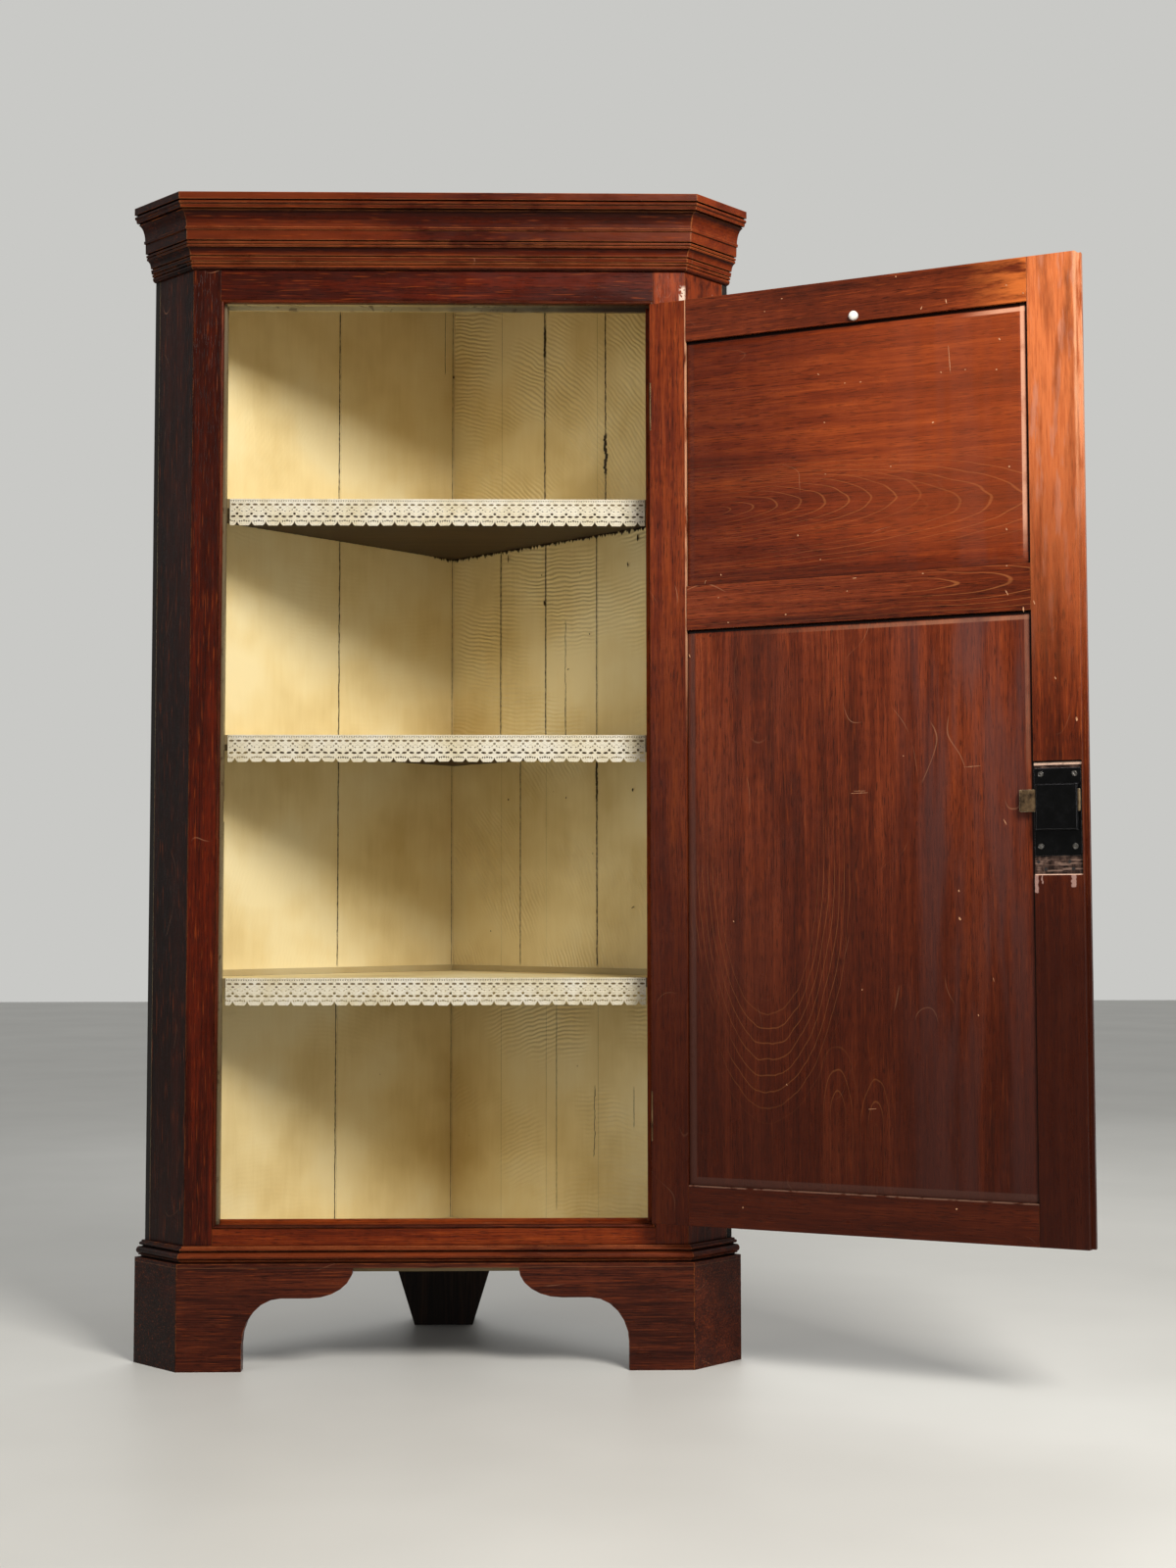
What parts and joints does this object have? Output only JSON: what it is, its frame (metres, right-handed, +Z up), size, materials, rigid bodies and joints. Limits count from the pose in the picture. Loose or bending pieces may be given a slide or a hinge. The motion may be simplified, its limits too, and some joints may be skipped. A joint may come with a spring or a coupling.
{
  "type": "corner cupboard",
  "caption": "Standing corner cupboard with canted sides, moulded cornice and bracket feet; a panelled door on butt hinges closes a painted, shelved interior and locks with a sliding bolt.",
  "frame": {"origin": "on the floor, at the middle of the flat underside of the back foot", "axes": "+Z up, -Y out of the front where the door is, +Y towards the room's corner, +X to the right of someone who faces the cupboard"},
  "size_m": [1.4577, 0.8626, 1.85],
  "materials": {
    "mahogany": "wax polished mahogany",
    "painted_board": "old cream paint inside, bare pine outside",
    "painted_shelf": "old cream paint on top, bare wood below",
    "raw_pine": "bare aged pine",
    "dark_pine": "dark stained pine",
    "lace": "cotton lace",
    "black_iron": "glossy black japanned iron",
    "brass": "dull brass",
    "white_rubber": "white rubber"
  },
  "bodies": {
    "carcass": {"frame_stile_left": "mahogany", "frame_stile_right": "mahogany", "frame_top_rail": "mahogany", "frame_bottom_rail": "mahogany", "canted_side_left": "mahogany", "canted_side_right": "mahogany", "cornice_front": "mahogany", "cornice_return_left": "mahogany", "cornice_return_right": "mahogany", "base_mould_front": "mahogany", "base_mould_return_left": "mahogany", "base_mould_return_right": "mahogany", "plinth_front": "mahogany", "plinth_return_left": "mahogany", "plinth_return_right": "mahogany", "door_bead_lock_side": "mahogany", "door_bead_hinge_side": "mahogany", "door_bead_bottom": "mahogany", "door_bead_top": "mahogany", "back_board_left_1": "painted_board", "back_board_left_2": "painted_board", "back_board_right_1": "painted_board", "back_board_right_2": "painted_board", "back_board_right_3": "painted_board", "back_board_right_4": "painted_board", "shelf_1": "painted_shelf", "shelf_2": "painted_shelf", "shelf_3": "painted_shelf", "shelf_batten_left": "painted_shelf", "shelf_batten_right": "painted_shelf", "bottom_board": "painted_shelf", "top_board": "raw_pine", "foot_block_left": "dark_pine", "foot_block_right": "dark_pine", "back_foot": "dark_pine", "lace_edging_1": "lace", "lace_edging_2": "lace", "lace_edging_3": "lace", "hinge_lower_frame_leaf": "brass", "hinge_lower_pin": "brass", "hinge_upper_frame_leaf": "brass", "hinge_upper_pin": "brass"},
    "door": {"door_hinge_stile": "mahogany", "door_lock_stile": "mahogany", "door_top_rail": "mahogany", "door_middle_rail": "mahogany", "door_bottom_rail": "mahogany", "door_panel_lower": "mahogany", "door_panel_upper": "mahogany", "hinge_lower_door_leaf": "brass", "hinge_upper_door_leaf": "brass", "lock_plate": "black_iron", "lock_case": "black_iron", "keyhole_escutcheon": "brass", "door_buffer": "white_rubber"},
    "bolt": {"lock_bolt": "brass"}
  },
  "joints": [
    {"name": "door_hinge", "type": "hinge", "parent": "carcass", "child": "door", "pos_m": [0.3476, -0.3965, 0.95], "axis": [0, 0, 1], "range_deg": [-154.9, 17]},
    {"name": "bolt_slide", "type": "slide", "parent": "door", "child": "bolt", "axis": [0.9056, -0.4242, 0], "range_m": [0, 0.014]}
  ]
}
